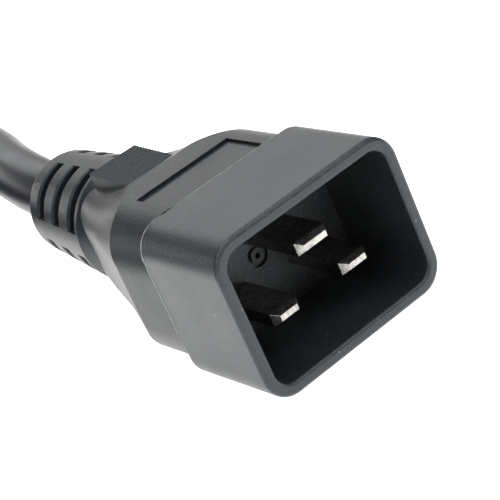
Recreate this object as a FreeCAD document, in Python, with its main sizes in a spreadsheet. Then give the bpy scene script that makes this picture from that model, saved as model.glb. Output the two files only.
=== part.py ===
# Power lead for data centre racks: a three-blade plug with its shroud, a thick round cord
# wound into a tied coil, and the matching three-slot connector on the far end. Millimetres.
# Frame: X along the long side of the plug's face, +Y from the plug's opening towards the cord,
# +Z up. The plug lies on a broad side at Z 0, and the origin is at the bottom centre of its box.
import FreeCAD, Part
import Sketcher
import math
import os
from FreeCAD import Vector, Rotation, Placement

doc = FreeCAD.newDocument("PowerLead")
dims = doc.addObject("Spreadsheet::Sheet", "Dims")

VALUES = [
    # where the plug and the connector stand
    ("plugFaceAt", -37.2), ("axisHeight", 12.5),
    ("connectorAcross", -106.0), ("connectorFaceAt", -12.2),
    # hood: the open shroud around the blades, with the core that carries them
    ("hoodWidth", 32.8), ("hoodHeight", 25.0), ("hoodCorner", 4.4), ("hoodDepth", 18.7),
    ("recessWidth", 29.1), ("recessHeight", 21.1), ("recessCorner", 2.7), ("recessDepth", 17.9),
    ("rimRound", 0.7), ("mouthRound", 0.55), ("seamBevel", 0.12),
    ("coreWidth", 27.0), ("coreHeight", 19.0), ("coreCorner", 2.0), ("coreEnd", 24.6),
    ("bossAcross", 0.35), ("bossDown", 0.95), ("bossPocketRadius", 1.75), ("bossRadius", 1.15), ("bossHole", 0.45),
    ("bossPocketDepth", 0.6), ("ejectorAcross", 4.6), ("ejectorDown", 8.3), ("ejectorRadius", 1.5),
    # blades
    ("bladeSpacing", 13.0), ("bladeDrop", 3.97), ("earthRise", 4.03),
    ("bladeWidth", 5.0), ("earthWidth", 5.6), ("bladeThick", 2.0),
    ("bladeTip", 4.3), ("earthTip", 1.4), ("tipWidth", 3.1), ("earthTipWidth", 4.0), ("tipThick", 0.88),
    ("tipLength", 1.1), ("bladeEnd", 26.4), ("barrelStart", 25.6), ("barrelEnd", 32.2),
    ("barrelRadius", 1.8), ("strandRadius", 1.0), ("coreCordRadius", 1.75), ("coreCordStart", 33.0),
    ("strandStart", 26.8), ("jacketStart", 48.0), ("coreCordEnd", 47.5), ("triadRadius", 2.12),
    # overmould: band, neck, grip blocks, strain relief
    ("bandCorner", 8.1), ("bandEnd", 28.2), ("neckFrontWidth", 32.72), ("neckFrontHeight", 24.92), ("neckFrontCorner", 5.5),
    ("neckAEnd", 37.4), ("neckAWidth", 26.2), ("neckAHeight", 22.6), ("neckACorner", 7.6),
    ("neckBEnd", 41.5), ("neckBWidth", 23.6), ("neckBHeight", 19.9), ("neckBCorner", 5.9),
    ("neckCEnd", 46.0), ("neckCWidth", 20.95), ("neckCHeight", 18.1), ("neckCCorner", 5.2),
    ("neckDEnd", 52.0), ("neckDWidth", 16.9), ("neckDHeight", 16.6), ("neckDCorner", 5.0),
    ("panelWidth", 17.4), ("panelShift", 0.5), ("panelDepth", 0.45),
    ("blockWidth", 8.9), ("blockTop", 11.4), ("blockStart", 34.0), ("blockEnd", 49.6),
    ("ridgePitch", 0.95), ("ridgeDepth", 0.42), ("ridgeFirst", 37.6), ("ridgeCount", 13),
    ("reliefPivot", 50.0), ("reliefTilt", 3.0), ("reliefTurn", 15.5), ("reliefLength", 23.8), ("reliefBack", 2.2),
    ("reliefFrontRadius", 10.15), ("reliefEndRadius", 8.55), ("reliefRound", 2.1), ("collarAt", 2.5), ("collarRadius", 8.4),
    ("slotWide", 2.35), ("slotMouth", 0.45), ("slotFloor", 6.3), ("slotSpan", 66.0), ("slotOne", 4.9), ("slotTwo", 11.3), ("slotThree", 17.55),
    # connector on the far end
    ("noseWidth", 28.5), ("noseHeight", 20.5), ("noseCorner", 2.4), ("noseLength", 18.6), ("noseRound", 0.5),
    ("slotLong", 5.6), ("slotEarthLong", 6.2), ("slotThick", 2.7), ("socketDeep", 2.0),
    ("socketWidth", 6.6), ("socketHeight", 4.2), ("socketEnd", 17.0), ("socketGap", 1.9), ("socketMouth", 5.3),
    # cord
    ("cordDiameter", 10.0), ("coilAcross", -52.5), ("coilAlong", 129.0),
    ("coilInner", 34.9), ("coilOuter", 69.1), ("coilTopInner", 38.7), ("coilTopOuter", 67.0), ("coilHeight", 20.2),
    ("coilEdge", 5.1), ("tieWidth", 14.0), ("tieThick", 1.2), ("tieAngle", 60.0),
]
for row, (alias, number) in enumerate(VALUES, start=1):
    dims.set("A%d" % row, alias)
    dims.set("B%d" % row, repr(number))
    dims.setAlias("B%d" % row, alias)
doc.recompute()
D = {alias: float(getattr(dims, alias)) for alias, _ in VALUES}

# every axial piece is drawn along its own +Z, which is laid along +Y of the part: local Y points down
LAID = Rotation(Vector(1, 0, 0), -90)
parts_out = []


def bind(obj, prop, expr):
    obj.setExpression(prop, expr)


def lay(obj, across="0", along="Dims.plugFaceAt", up="Dims.axisHeight"):
    """stands an object in the frame of the plug's or the connector's axis"""
    obj.Placement = Placement(Vector(0, 0, 0), LAID)
    bind(obj, "Placement.Base.x", across)
    bind(obj, "Placement.Base.y", along)
    bind(obj, "Placement.Base.z", up)


def publish(obj, label):
    obj.Label = label
    parts_out.append(obj)
    return obj


def origin_feature(body, role):
    return [f for f in body.Origin.OriginFeatures if f.Role == role][0]


def new_sketch(body, name, role="XY_Plane", offset=None):
    sk = body.newObject("Sketcher::SketchObject", name)
    sk.AttachmentSupport = [(origin_feature(body, role), "")]
    sk.MapMode = "FlatFace"
    if offset:
        bind(sk, "AttachmentOffset.Base.z", offset)
    return sk


def rounded_rect(sk, width, height, corner):
    """a rounded rectangle about the sketch's origin, driven by three cells"""
    w, h, r = D[width] / 2, D[height] / 2, D[corner]
    pts = [(-w + r, -h), (w - r, -h), (w, -h + r), (w, h - r), (w - r, h), (-w + r, h), (-w, h - r), (-w, -h + r)]
    V = lambda p: Vector(p[0], p[1], 0)
    for i in (0, 2, 4, 6):
        sk.addGeometry(Part.LineSegment(V(pts[i]), V(pts[i + 1])), False)
    cs = [(w - r, -h + r, 270), (w - r, h - r, 0), (-w + r, h - r, 90), (-w + r, -h + r, 180)]
    for cx, cy, a in cs:
        sk.addGeometry(Part.ArcOfCircle(Part.Circle(Vector(cx, cy, 0), Vector(0, 0, 1), r),
                                        math.radians(a), math.radians(a + 90)), False)
    C = Sketcher.Constraint
    for i in range(4):
        sk.addConstraint(C("Tangent", i, 2, 4 + i, 1))
        sk.addConstraint(C("Tangent", 4 + i, 2, (i + 1) % 4, 1))
    sk.addConstraint(C("Horizontal", 0)); sk.addConstraint(C("Vertical", 1))
    for i in (5, 6, 7):
        sk.addConstraint(C("Equal", 4, i))
    sk.addConstraint(C("Symmetric", 5, 3, 7, 3, -1, 1))
    n = sk.addConstraint(C("Radius", 4, r)); sk.renameConstraint(n, "corner")
    n = sk.addConstraint(C("DistanceX", 3, 1, 1, 1, 2 * w)); sk.renameConstraint(n, "wide")
    n = sk.addConstraint(C("DistanceY", 0, 1, 2, 1, 2 * h)); sk.renameConstraint(n, "high")
    bind(sk, "Constraints.corner", "Dims." + corner)
    bind(sk, "Constraints.wide", "Dims." + width)
    bind(sk, "Constraints.high", "Dims." + height)


def profile(sk, pts):
    """a closed outline of straight lines: each point is (x expression, y expression)"""
    num = [(cell_sum(a), cell_sum(b)) for a, b in pts]
    n = len(pts)
    for i in range(n):
        p, q = num[i], num[(i + 1) % n]
        sk.addGeometry(Part.LineSegment(Vector(p[0], p[1], 0), Vector(q[0], q[1], 0)), False)
    for i in range(n):
        sk.addConstraint(Sketcher.Constraint("Coincident", i, 2, (i + 1) % n, 1))
    for i, (a, b) in enumerate(pts):
        for kind, e, v in (("DistanceX", a, num[i][0]), ("DistanceY", b, num[i][1])):
            if abs(v) < 1e-9:
                sk.addConstraint(Sketcher.Constraint("PointOnObject", i, 1, -2 if kind == "DistanceX" else -1))
            else:
                c = sk.addConstraint(Sketcher.Constraint(kind, -1, 1, i, 1, v))
                key = "%s%d" % ("px" if kind == "DistanceX" else "py", i)
                sk.renameConstraint(c, key)
                bind(sk, "Constraints." + key, e)


def cell_sum(expr):
    """the value of a sum of cells, as '-Dims.a + Dims.b' or a plain number"""
    total = 0.0
    for term in expr.replace("-", "+-").split("+"):
        term = term.strip()
        if not term:
            continue
        sign = -1.0 if term.startswith("-") else 1.0
        term = term.lstrip("-").strip()
        scale = 1.0
        if "/" in term:
            term, by = term.split("/")
            scale = 1.0 / float(by)
        if "*" in term:
            term, by = term.split("*")
            scale *= float(by)
        term = term.strip()
        total += sign * scale * (D[term[5:]] if term.startswith("Dims.") else float(term))
    return total


def edges_where(shape, test):
    return ["Edge%d" % (i + 1) for i, e in enumerate(shape.Edges) if test(e)]


def flat_at(e, z, tol=1e-4):
    b = e.BoundBox
    return abs(b.ZMin - z) < tol and abs(b.ZMax - z) < tol


def reach(e):
    b = e.BoundBox
    return max(abs(b.XMin), abs(b.XMax)), max(abs(b.YMin), abs(b.YMax))


def add_box(name, long_, wide, high, x, y, z):
    """a box in a piece's own axial frame; all six are expressions"""
    o = doc.addObject("Part::Box", name)
    for prop, e in (("Length", long_), ("Width", wide), ("Height", high),
                    ("Placement.Base.x", x), ("Placement.Base.y", y), ("Placement.Base.z", z)):
        bind(o, prop, e)
    return o


def add_rod(name, radius, high, x="0", y="0", z="0"):
    o = doc.addObject("Part::Cylinder", name)
    for prop, e in (("Radius", radius), ("Height", high), ("Placement.Base.x", x), ("Placement.Base.y", y), ("Placement.Base.z", z)):
        bind(o, prop, e)
    return o


def fuse(name, objs):
    o = doc.addObject("Part::MultiFuse", name)
    o.Shapes = objs
    o.Refine = True
    return o


def cut(name, base, tool):
    o = doc.addObject("Part::Cut", name)
    o.Base = base
    o.Tool = tool
    o.Refine = True
    return o


# ---------------------------------------------------------------- routes made of runs and arcs
def run_lengths(pts):
    return [(b - a).Length for a, b in zip(pts, pts[1:])]


def route_wire(pts, share=0.45, report=None):
    """straight runs joined by tangent arcs; an arc's radius is share x the shorter run / tan(half turn)"""
    runs = run_lengths(pts)
    edges, radii, last = [], [], pts[0]
    for i in range(1, len(pts) - 1):
        a, p, b = pts[i - 1], pts[i], pts[i + 1]
        u = (p - a).normalize(); v = (b - p).normalize()
        turn = math.acos(max(-1.0, min(1.0, u.dot(v))))
        reach_ = share * min(runs[i - 1], runs[i])
        radius = reach_ / math.tan(turn / 2)
        start = p - u * reach_
        end = p + v * reach_
        inward = (v - u).normalize()
        centre = p + inward * (radius / math.cos(turn / 2))
        mid = centre - inward * radius
        if (start - last).Length > 1e-6:
            edges.append(Part.LineSegment(last, start).toShape())
        edges.append(Part.Arc(start, mid, end).toShape())
        radii.append((radius, math.degrees(turn)))
        last = end
    edges.append(Part.LineSegment(last, pts[-1]).toShape())
    if report:
        print(report, "runs", [round(x, 1) for x in runs], "radii",
              [(round(r, 1), "turn %.1f" % t) for r, t in radii])
    return Part.Wire(edges)


def rod_along(pts, radius, report=None, share=0.45):
    wire = route_wire(pts, share, report)
    d = (pts[1] - pts[0]).normalize()
    ring = Part.Wire([Part.Circle(pts[0], d, radius).toShape()])
    solid = wire.makePipeShell([ring], True, False)
    if report:
        want = math.pi * radius ** 2 * wire.Length
        print(report, "length %.2f volume %.1f section x length %.1f" % (wire.Length, solid.Volume, want))
    return solid


def feature(name, shape):
    o = doc.addObject("Part::Feature", name)
    o.Shape = shape
    return o


# ---------------------------------------------------------------- hood with its core
hood = doc.addObject("PartDesign::Body", "HoodBody")
sk = new_sketch(hood, "HoodOutline"); rounded_rect(sk, "hoodWidth", "hoodHeight", "hoodCorner")
pad = hood.newObject("PartDesign::Pad", "HoodPad"); pad.Profile = sk
bind(pad, "Length", "Dims.hoodDepth")
doc.recompute()
fil = hood.newObject("PartDesign::Fillet", "RimFillet")
fil.Base = (pad, edges_where(pad.Shape, lambda e: flat_at(e, 0.0)))
bind(fil, "Radius", "Dims.rimRound")
doc.recompute()
cham = hood.newObject("PartDesign::Chamfer", "SeamBevel")
cham.Base = (fil, edges_where(fil.Shape, lambda e: flat_at(e, D["hoodDepth"])))
bind(cham, "Size", "Dims.seamBevel")
doc.recompute()
sk = new_sketch(hood, "CoreOutline"); rounded_rect(sk, "coreWidth", "coreHeight", "coreCorner")
corepad = hood.newObject("PartDesign::Pad", "CorePad"); corepad.Profile = sk
bind(corepad, "Length", "Dims.coreEnd")
doc.recompute()
sk = new_sketch(hood, "RecessOutline"); rounded_rect(sk, "recessWidth", "recessHeight", "recessCorner")
pocket = hood.newObject("PartDesign::Pocket", "Recess"); pocket.Profile = sk
pocket.Reversed = True
bind(pocket, "Length", "Dims.recessDepth")
doc.recompute()
print("hood: recess took", round(corepad.Shape.Volume - pocket.Shape.Volume, 1))
mouth = hood.newObject("PartDesign::Fillet", "MouthFillet")
mouth.Base = (pocket, edges_where(pocket.Shape, lambda e: flat_at(e, 0.0) and reach(e)[0] < D["recessWidth"] / 2 + 0.05
                                  and reach(e)[1] < D["recessHeight"] / 2 + 0.05))
bind(mouth, "Radius", "Dims.mouthRound")
doc.recompute()

blade_tools = []
for tag, x, y, wide in (("Line", "-Dims.bladeSpacing / 2", "Dims.bladeDrop", "Dims.bladeWidth"),
                        ("Neutral", "Dims.bladeSpacing / 2", "Dims.bladeDrop", "Dims.bladeWidth"),
                        ("Earth", "0", "-Dims.earthRise", "Dims.earthWidth")):
    blade_tools.append(add_box(tag + "Slot", wide, "Dims.bladeThick", "Dims.coreEnd - Dims.recessDepth + 2",
                               x + " - " + wide + " / 2", y + " - Dims.bladeThick / 2", "Dims.recessDepth - 1"))
# a moulded locating boss in a round pocket of the floor, and a witness ring lower down
boss_ring = cut("BossRing", add_rod("BossRingOut", "Dims.bossPocketRadius", "Dims.bossPocketDepth + 1", "-Dims.bossAcross", "Dims.bossDown", "Dims.recessDepth - 1"),
                add_rod("BossRingIn", "Dims.bossRadius", "Dims.bossPocketDepth + 3", "-Dims.bossAcross", "Dims.bossDown", "Dims.recessDepth - 2"))
boss_hole = add_rod("BossHole", "Dims.bossHole", "Dims.bossPocketDepth + 1.4", "-Dims.bossAcross", "Dims.bossDown", "Dims.recessDepth - 1")
eject = cut("EjectorRing", add_rod("EjectorOut", "Dims.ejectorRadius", "1.3", "-Dims.ejectorAcross", "Dims.ejectorDown", "Dims.recessDepth - 1"),
            add_rod("EjectorIn", "Dims.ejectorRadius - 0.3", "3.3", "-Dims.ejectorAcross", "Dims.ejectorDown", "Dims.recessDepth - 2"))
hood_cut = cut("HoodShell", hood, fuse("HoodTools", blade_tools + [boss_ring, boss_hole, eject]))
lay(hood_cut)
publish(hood_cut, "plug_hood")


# ---------------------------------------------------------------- blades with crimp barrels
def blade(tag, x, y, wide, tip, tipwide, label):
    body = doc.addObject("PartDesign::Body", tag + "BladeBody")
    def rect(name, w, t, at):
        s = new_sketch(body, name, "XY_Plane", at)
        profile(s, [("-" + w + " / 2", "-" + t + " / 2"), (w + " / 2", "-" + t + " / 2"),
                    (w + " / 2", t + " / 2"), ("-" + w + " / 2", t + " / 2")])
        return s
    s1 = rect(tag + "Tip", tipwide, "Dims.tipThick", tip)
    s2 = rect(tag + "Shoulder", wide, "Dims.bladeThick", tip + " + Dims.tipLength")
    loft = body.newObject("PartDesign::AdditiveLoft", tag + "TipLoft")
    loft.Profile = s1; loft.Sections = [s2]; loft.Ruled = True
    doc.recompute()
    s3 = rect(tag + "Section", wide, "Dims.bladeThick", tip + " + Dims.tipLength")
    p = body.newObject("PartDesign::Pad", tag + "Pad"); p.Profile = s3
    bind(p, "Length", "Dims.bladeEnd - " + tip + " - Dims.tipLength")
    doc.recompute()
    barrel = add_rod(tag + "Barrel", "Dims.barrelRadius", "Dims.barrelEnd - Dims.barrelStart", "0", "0", "Dims.barrelStart")
    bore = add_rod(tag + "Bore", "Dims.strandRadius", "Dims.barrelEnd - Dims.strandStart + 1", "0", "0", "Dims.strandStart")
    o = cut(tag + "Blade", fuse(tag + "BladeSolid", [body, barrel]), bore)
    o.Placement = Placement(Vector(0, 0, 0), LAID)
    bind(o, "Placement.Base.x", x)
    bind(o, "Placement.Base.y", "Dims.plugFaceAt")
    bind(o, "Placement.Base.z", "Dims.axisHeight - (" + y + ")")
    return publish(o, label)


blade("Line", "-Dims.bladeSpacing / 2", "Dims.bladeDrop", "Dims.bladeWidth", "Dims.bladeTip", "Dims.tipWidth", "plug_line_blade")
blade("Neutral", "Dims.bladeSpacing / 2", "Dims.bladeDrop", "Dims.bladeWidth", "Dims.bladeTip", "Dims.tipWidth", "plug_neutral_blade")
blade("Earth", "0", "-Dims.earthRise", "Dims.earthWidth", "Dims.earthTip", "Dims.earthTipWidth", "plug_earth_blade")


# ---------------------------------------------------------------- overmould, shared by both ends
def overmould_solid(tag, tilt):
    """band, neck, two ribbed grip blocks and the slotted strain relief, in the axial frame"""
    body = doc.addObject("PartDesign::Body", tag + "NeckBody")
    def section(name, w, h_, r, at):
        s = new_sketch(body, tag + name, "XY_Plane", at)
        rounded_rect(s, w, h_, r)
        return s
    s0 = section("BandOutline", "hoodWidth", "hoodHeight", "bandCorner", "Dims.hoodDepth")
    p = body.newObject("PartDesign::Pad", tag + "BandPad"); p.Profile = s0
    bind(p, "Length", "Dims.bandEnd - Dims.hoodDepth")
    doc.recompute()
    ch = body.newObject("PartDesign::Chamfer", tag + "BandBevel")
    ch.Base = (p, edges_where(p.Shape, lambda e: flat_at(e, D["hoodDepth"])))
    bind(ch, "Size", "Dims.seamBevel")
    doc.recompute()
    # the neck's corners are fuller than the band's, whose outline trims them: the crease bows back there
    taper = doc.addObject("PartDesign::Body", tag + "TaperBody")
    cuts = []
    for name, key, at in (("NeckFront", "neckFront", "Dims.bandEnd - 0.01"), ("NeckShoulder", "neckA", "Dims.neckAEnd"),
                          ("NeckMid", "neckB", "Dims.neckBEnd"), ("NeckWaist", "neckC", "Dims.neckCEnd"), ("NeckRear", "neckD", "Dims.neckDEnd")):
        s = new_sketch(taper, tag + name, "XY_Plane", at)
        rounded_rect(s, key + "Width", key + "Height", key + "Corner")
        cuts.append(s)
    loft = taper.newObject("PartDesign::AdditiveLoft", tag + "NeckLoft")
    loft.Profile = cuts[0]; loft.Sections = cuts[1:]; loft.Ruled = False
    sleeve = doc.addObject("PartDesign::Body", tag + "TrimBody")
    st = new_sketch(sleeve, tag + "TrimOutline", "XY_Plane", "Dims.bandEnd - 1")
    rounded_rect(st, "hoodWidth", "hoodHeight", "bandCorner")
    tp = sleeve.newObject("PartDesign::Pad", tag + "TrimPad"); tp.Profile = st
    bind(tp, "Length", "Dims.neckDEnd - Dims.bandEnd + 2")
    neck = doc.addObject("Part::MultiCommon", tag + "Neck")
    neck.Shapes = [taper, sleeve]
    doc.recompute()

    # the grip block, with its fine cross ridges cut as a row of V grooves
    block = doc.addObject("PartDesign::Body", tag + "BlockBody")
    sb = new_sketch(block, tag + "BlockOutline", "YZ_Plane")
    # sketch X is the piece's Y (down), sketch Y its Z (along the axis)
    profile(sb, [("-Dims.blockTop", "Dims.blockStart"), ("-Dims.slotFloor", "Dims.blockStart"),
                 ("-Dims.slotFloor", "Dims.blockEnd"), ("-Dims.blockTop", "Dims.blockEnd")])
    bp = block.newObject("PartDesign::Pad", tag + "BlockPad"); bp.Profile = sb
    bp.Midplane = True
    bind(bp, "Length", "Dims.blockWidth")
    doc.recompute()
    sv = new_sketch(block, tag + "RidgeGroove", "YZ_Plane")
    profile(sv, [("-Dims.blockTop - 0.05", "Dims.ridgeFirst - Dims.ridgePitch / 2"),
                 ("-Dims.blockTop + Dims.ridgeDepth", "Dims.ridgeFirst"),
                 ("-Dims.blockTop - 0.05", "Dims.ridgeFirst + Dims.ridgePitch / 2")])
    gp = block.newObject("PartDesign::Pocket", tag + "RidgePocket"); gp.Profile = sv
    gp.Midplane = True
    bind(gp, "Length", "Dims.blockWidth + 2")
    doc.recompute()
    lp = block.newObject("PartDesign::LinearPattern", tag + "RidgeRow")
    lp.Originals = [gp]
    lp.Direction = (origin_feature(block, "Z_Axis"), [""])
    bind(lp, "Length", "Dims.ridgePitch * (Dims.ridgeCount - 1)")
    lp.Occurrences = int(D["ridgeCount"])
    block.Tip = lp
    doc.recompute()
    print(tag, "ridges took", round(bp.Shape.Volume - lp.Shape.Volume, 2), "direction ends",
          round(lp.Shape.BoundBox.ZMax, 2))
    under = doc.addObject("Part::Mirroring", tag + "BlockUnder")
    under.Source = block
    under.Base = Vector(0, 0, 0)
    under.Normal = Vector(0, 1, 0)

    # the strain relief turns about the axis, and leans with the cord it holds
    relief = doc.addObject("PartDesign::Body", tag + "ReliefBody")
    sr = new_sketch(relief, tag + "ReliefProfile", "XZ_Plane")
    # XZ_Plane sketches have X to the right and the sketch's Y along the body's Z
    slope = "(Dims.reliefEndRadius - Dims.reliefFrontRadius) / Dims.reliefLength"
    re_, rf_, L_, back = D["reliefEndRadius"], D["reliefRound"], D["reliefLength"], D["reliefBack"]
    k = (D["reliefEndRadius"] - D["reliefFrontRadius"]) / L_
    r_at = lambda s: D["reliefFrontRadius"] + k * s
    # outline: up the axis, out along the end, round the lip, down the cone
    ang = math.atan(-k)
    zc_ = L_ - rf_
    rc_ = r_at(zc_) - rf_ / math.cos(ang)
    tx, tz = rc_ + rf_ * math.cos(ang), zc_ + rf_ * math.sin(ang)
    sr.addGeometry(Part.LineSegment(Vector(0, -back, 0), Vector(0, L_, 0)), False)
    sr.addGeometry(Part.LineSegment(Vector(0, L_, 0), Vector(rc_, L_, 0)), False)
    sr.addGeometry(Part.ArcOfCircle(Part.Circle(Vector(rc_, zc_, 0), Vector(0, 0, 1), rf_), ang, math.pi / 2), False)
    collar, low = D["collarAt"], D["collarRadius"]
    sr.addGeometry(Part.LineSegment(Vector(tx, tz, 0), Vector(r_at(collar), collar, 0)), False)
    sr.addGeometry(Part.LineSegment(Vector(r_at(collar), collar, 0), Vector(low, -back, 0)), False)
    sr.addGeometry(Part.LineSegment(Vector(low, -back, 0), Vector(0, -back, 0)), False)
    C = Sketcher.Constraint
    sr.addConstraint(C("Coincident", 0, 2, 1, 1))
    sr.addConstraint(C("Tangent", 1, 2, 2, 2))
    sr.addConstraint(C("Tangent", 2, 1, 3, 1))
    sr.addConstraint(C("Coincident", 3, 2, 4, 1))
    sr.addConstraint(C("Coincident", 4, 2, 5, 1)); sr.addConstraint(C("Coincident", 5, 2, 0, 1))
    sr.addConstraint(C("PointOnObject", 0, 1, -2)); sr.addConstraint(C("PointOnObject", 0, 2, -2))
    sr.addConstraint(C("Horizontal", 1)); sr.addConstraint(C("Horizontal", 5))
    n = sr.addConstraint(C("Radius", 2, rf_)); sr.renameConstraint(n, "lip"); bind(sr, "Constraints.lip", "Dims.reliefRound")
    n = sr.addConstraint(C("DistanceY", -1, 1, 0, 2, L_)); sr.renameConstraint(n, "end"); bind(sr, "Constraints.end", "Dims.reliefLength")
    n = sr.addConstraint(C("DistanceY", 0, 1, -1, 1, back)); sr.renameConstraint(n, "back"); bind(sr, "Constraints.back", "Dims.reliefBack")
    n = sr.addConstraint(C("DistanceX", -1, 1, 4, 1, r_at(collar))); sr.renameConstraint(n, "front")
    bind(sr, "Constraints.front", "Dims.reliefFrontRadius + Dims.collarAt * " + slope)
    n = sr.addConstraint(C("DistanceY", -1, 1, 4, 1, collar)); sr.renameConstraint(n, "collar"); bind(sr, "Constraints.collar", "Dims.collarAt")
    n = sr.addConstraint(C("DistanceX", -1, 1, 5, 1, low)); sr.renameConstraint(n, "low"); bind(sr, "Constraints.low", "Dims.collarRadius")
    n = sr.addConstraint(C("DistanceX", -1, 1, 2, 3, rc_)); sr.renameConstraint(n, "lipcentre")
    bind(sr, "Constraints.lipcentre", "Dims.reliefEndRadius - Dims.reliefRound + 0.14")
    rev = relief.newObject("PartDesign::Revolution", tag + "ReliefTurn"); rev.Profile = sr
    rev.ReferenceAxis = (origin_feature(relief, "Z_Axis"), [""])
    rev.Angle = 360
    doc.recompute()
    # three rings of four slots, with posts on the four sides
    sg = new_sketch(relief, tag + "SlotOutline", "XZ_Plane")
    ro = D["slotMouth"]
    for j, c in enumerate(("slotOne", "slotTwo", "slotThree")):
        z0, z1 = D[c] - D["slotWide"] / 2, D[c] + D["slotWide"] / 2
        x0, x1 = D["slotFloor"], 12.0
        ra, rb = r_at(z0 - ro), r_at(z1 + ro)
        W = lambda x, z: Vector(x, z, 0)
        g = 8 * j
        sg.addGeometry(Part.LineSegment(W(x0, z0), W(ra - ro, z0)), False)
        sg.addGeometry(Part.ArcOfCircle(Part.Circle(W(ra - ro, z0 - ro), Vector(0, 0, 1), ro), 0.0, math.pi / 2), False)
        sg.addGeometry(Part.LineSegment(W(ra, z0 - ro), W(x1, z0 - ro)), False)
        sg.addGeometry(Part.LineSegment(W(x1, z0 - ro), W(x1, z1 + ro)), False)
        sg.addGeometry(Part.LineSegment(W(x1, z1 + ro), W(rb, z1 + ro)), False)
        sg.addGeometry(Part.ArcOfCircle(Part.Circle(W(rb - ro, z1 + ro), Vector(0, 0, 1), ro), -math.pi / 2, 0.0), False)
        sg.addGeometry(Part.LineSegment(W(rb - ro, z1), W(x0, z1)), False)
        sg.addGeometry(Part.LineSegment(W(x0, z1), W(x0, z0)), False)
        # ends in order: wall, arc (its start is outside), lip out, outer side, lip in, arc (its end is outside), wall, floor
        for a, ea, b, eb in ((0, 2, 1, 2), (1, 1, 2, 1), (2, 2, 3, 1), (3, 2, 4, 1), (4, 2, 5, 2), (5, 1, 6, 1), (6, 2, 7, 1), (7, 2, 0, 1)):
            sg.addConstraint(C("Coincident", g + a, ea, g + b, eb))
        for h_ in (0, 2, 4, 6):
            sg.addConstraint(C("Horizontal", g + h_))
        sg.addConstraint(C("Vertical", g + 3)); sg.addConstraint(C("Vertical", g + 7))
        # each arc's middle lies level with its lip and straight under its wall's end
        for arc, lip, wall, wend in ((1, 2, 0, 2), (5, 4, 6, 1)):
            sg.addConstraint(C("Vertical", g + arc, 3, g + wall, wend))
            sg.addConstraint(C("Horizontal", g + arc, 3, g + lip, 1 if arc == 1 else 2))
        for key, con, e in (("floor%d" % j, C("DistanceX", -1, 1, g, 1, x0), "Dims.slotFloor"),
                            ("out%d" % j, C("DistanceX", -1, 1, g + 2, 2, x1), "12"),
                            ("at%d" % j, C("DistanceY", -1, 1, g, 1, z0), "Dims.%s - Dims.slotWide / 2" % c),
                            ("wide%d" % j, C("DistanceY", g + 7, 2, g + 7, 1, z1 - z0), "Dims.slotWide"),
                            ("mouthA%d" % j, C("Radius", g + 1, ro), "Dims.slotMouth"),
                            ("mouthB%d" % j, C("Radius", g + 5, ro), "Dims.slotMouth"),
                            ("skinA%d" % j, C("DistanceX", -1, 1, g + 2, 1, ra),
                             "Dims.reliefFrontRadius + (Dims.%s - Dims.slotWide / 2 - Dims.slotMouth) * %s" % (c, slope)),
                            ("skinB%d" % j, C("DistanceX", -1, 1, g + 4, 2, rb),
                             "Dims.reliefFrontRadius + (Dims.%s + Dims.slotWide / 2 + Dims.slotMouth) * %s" % (c, slope))):
            n = sg.addConstraint(con); sg.renameConstraint(n, key); bind(sg, "Constraints." + key, e)
    groove = relief.newObject("PartDesign::Groove", tag + "SlotCut"); groove.Profile = sg
    groove.ReferenceAxis = (origin_feature(relief, "Z_Axis"), [""])
    bind(groove, "Angle", "Dims.slotSpan")
    doc.recompute()
    pol = relief.newObject("PartDesign::PolarPattern", tag + "SlotRing")
    pol.Originals = [groove]
    pol.Axis = (origin_feature(relief, "Z_Axis"), [""])
    pol.Angle = 360
    pol.Occurrences = 4
    relief.Tip = pol
    doc.recompute()
    print(tag, "slots: one set took", round(rev.Shape.Volume - groove.Shape.Volume, 2), "all",
          round(rev.Shape.Volume - pol.Shape.Volume, 2))
    return [body, neck], block, under, relief


def plan_rotation(tilt_deg, turn_deg):
    """turns the relief about its own axis, then leans it towards +X"""
    return Rotation(Vector(0, 1, 0), tilt_deg).multiply(Rotation(Vector(0, 0, 1), turn_deg))


body, block, under, relief = overmould_solid("Plug", True)
relief.Placement = Placement(Vector(0, 0, D["reliefPivot"]), plan_rotation(D["reliefTilt"], D["reliefTurn"]))
bind(relief, "Placement.Base.z", "Dims.reliefPivot")
# the blocks lean with the relief
block.Placement = Placement(Vector(0, 0, 0), plan_rotation(D["reliefTilt"], 0.0), Vector(0, 0, D["reliefPivot"]))
outer = fuse("PlugOuter", body + [block, under, relief])
doc.recompute()

T3 = math.radians(D["reliefTilt"])
DIR3 = Vector(math.sin(T3), 0, math.cos(T3))
PIVOT = Vector(0, 0, D["reliefPivot"])
CORD_R = D["cordDiameter"] / 2


def core_route(x, y, s, start, end):
    """a conductor from its crimp to its place in the cord, in the axial frame"""
    tx, ty = s
    z = [start, D["coreCordStart"] + 3.0, D["coreCordEnd"] - 3.6, end]
    return [Vector(x, y, z[0]), Vector(x, y, z[1]), Vector(tx, ty, z[2]), Vector(tx, ty, z[3])]


TR = D["triadRadius"]
SEATS = {"line": (-TR * math.cos(math.radians(30)), TR * 0.5), "neutral": (TR * math.cos(math.radians(30)), TR * 0.5), "earth": (0.0, -TR)}
PINS = {"line": (-D["bladeSpacing"] / 2, D["bladeDrop"]), "neutral": (D["bladeSpacing"] / 2, D["bladeDrop"]), "earth": (0.0, -D["earthRise"])}


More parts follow.
